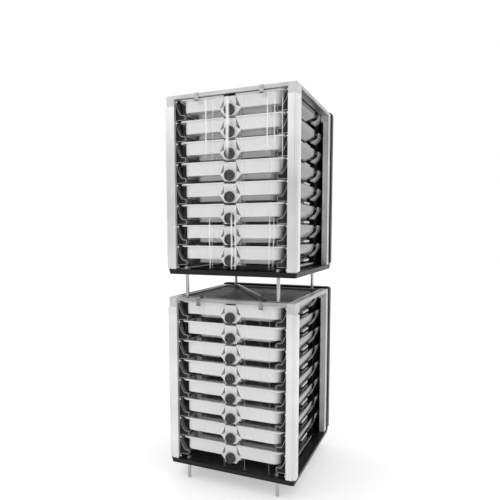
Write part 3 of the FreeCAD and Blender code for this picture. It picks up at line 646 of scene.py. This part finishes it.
def sheet_ripple(across, down, x, z, folds, ripple):
    """How far the sheet stands off its plane: slow waves, and a ridge along each wide fold, higher where its
    painted highlight is stronger.
    """
    wave = 0.5 * math.sin(11 * across + 2.2 * down) + 0.5 * math.sin(23 * across - 3.1 * down + 1)
    wave *= ripple * (0.35 + 0.65 * math.sin(math.pi * down))
    for fold_x, width, painted_highlight, low, high in folds:
        if width > WIDE_FOLD and low - 0.03 < z < high + 0.03:
            wave += 0.5 * ripple * painted_highlight * math.exp(-((x - fold_x) / (width * 1.6)) ** 2)
    return max(-MOST_RIPPLE, min(MOST_RIPPLE, wave))


def build_sheet(cabinet, folds, haze, ripple):
    lo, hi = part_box(f"{cabinet}_front_cover")
    width, height = hi.x - lo.x, hi.z - lo.z
    plane = (lo.y + hi.y) / 2
    columns, rows = 96, 72
    grid = []
    for r in range(rows + 1):
        down = r / rows
        z = hi.z - height * down
        line = []
        for c in range(columns + 1):
            across = c / columns
            x = lo.x + width * across
            line.append((x, plane + sheet_ripple(across, down, x, z, folds, ripple), z))
        grid.append(line)
    bm = bmesh.new()
    add_grid(bm, grid)
    sheet = add_mesh(f"{cabinet}_clear_sheet", bm, clear_vinyl(f"{cabinet}_clear_sheet", folds, haze))
    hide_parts(f"{cabinet}_front_cover")
    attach(sheet, f"{cabinet}_front_cover")


# ---------------------------------------------------------------- surroundings

def build_floor():
    """A plain pale floor, just under the feet."""
    half, steps = 14.0, 10
    places = [half * (2 * i / steps - 1) for i in range(steps + 1)]
    bm = bmesh.new()
    add_grid(bm, [[(x, y, 0) for x in places] for y in places])
    material, nodes, links, bsdf = node_material("pale_floor")
    soft = object_noise(nodes, links, 2.0, 2.0)
    links.new(two_tone(nodes, links, soft, grey(0.72), grey(0.74)), bsdf.inputs["Base Color"])
    bsdf.inputs["Roughness"].default_value = 0.9
    bsdf.inputs["Specular IOR Level"].default_value = 0.1
    bsdf.inputs["Emission Color"].default_value = (1, 1, 1, 1)
    bsdf.inputs["Emission Strength"].default_value = 0.44
    floor = add_mesh("floor", bm, material)
    floor.location.z = -0.5 * MM


def build_world():
    """White all round, dimmer in front of the cabinets."""
    world = bpy.data.worlds.new("studio")
    bpy.context.scene.world = world
    world.use_nodes = True
    nodes, links = world.node_tree.nodes, world.node_tree.links
    place = nodes.new("ShaderNodeTexCoord")
    apart = nodes.new("ShaderNodeSeparateXYZ")
    links.new(place.outputs["Generated"], apart.inputs["Vector"])
    strength = smooth_ramp(nodes, links, apart.outputs["Y"], (-0.85, -0.15), (0.20, 1.0))
    links.new(strength, nodes["Background"].inputs["Strength"])
    nodes["Background"].inputs["Color"].default_value = (1, 1, 1, 1)


def add_area(name, place, target, size, power):
    light = bpy.data.lights.new(name, "AREA")
    light.shape = "RECTANGLE"
    light.size, light.size_y = size
    light.energy = power
    obj = add_object(name, light)
    obj.location = place
    obj.rotation_euler = (Vector(target) - Vector(place)).to_track_quat("-Z", "Y").to_euler()


CAMERA_PLACE = (0.88204, -2.20619, 1.16709)
CAMERA_YAW, CAMERA_DIP = 0.3909, 0.08895


def build_camera():
    data = bpy.data.cameras.new("camera")
    data.sensor_width = 36
    data.lens = 34.369
    data.shift_y = 0.05
    camera = add_object("camera", data)
    camera.location = CAMERA_PLACE
    camera.rotation_euler = (math.pi / 2 - CAMERA_DIP, 0, CAMERA_YAW)
    bpy.context.scene.camera = camera


dress_cad_nodes()
for cabinet in CABINETS:
    for side in ("left", "right"):
        build_runner(cabinet, side)
        build_tails(cabinet, side)
    build_lid(cabinet)
    build_brace(cabinet)
place_plugs()
build_sheet("upper", UPPER_FOLDS, 0.02, 0.9 * MM)
build_sheet("lower", LOWER_FOLDS, 0.008, 0.5 * MM)

build_floor()
build_world()
add_area("key", (-1.2, -2.8, 3.0), (0, -0.2, 1.2), (2.6, 1.8), 27)
add_area("fill", (1.9, -3.0, 1.3), (0, -0.3, 1.0), (1.4, 1.8), 6)
bpy.context.scene.view_settings.view_transform = "Standard"
build_camera()
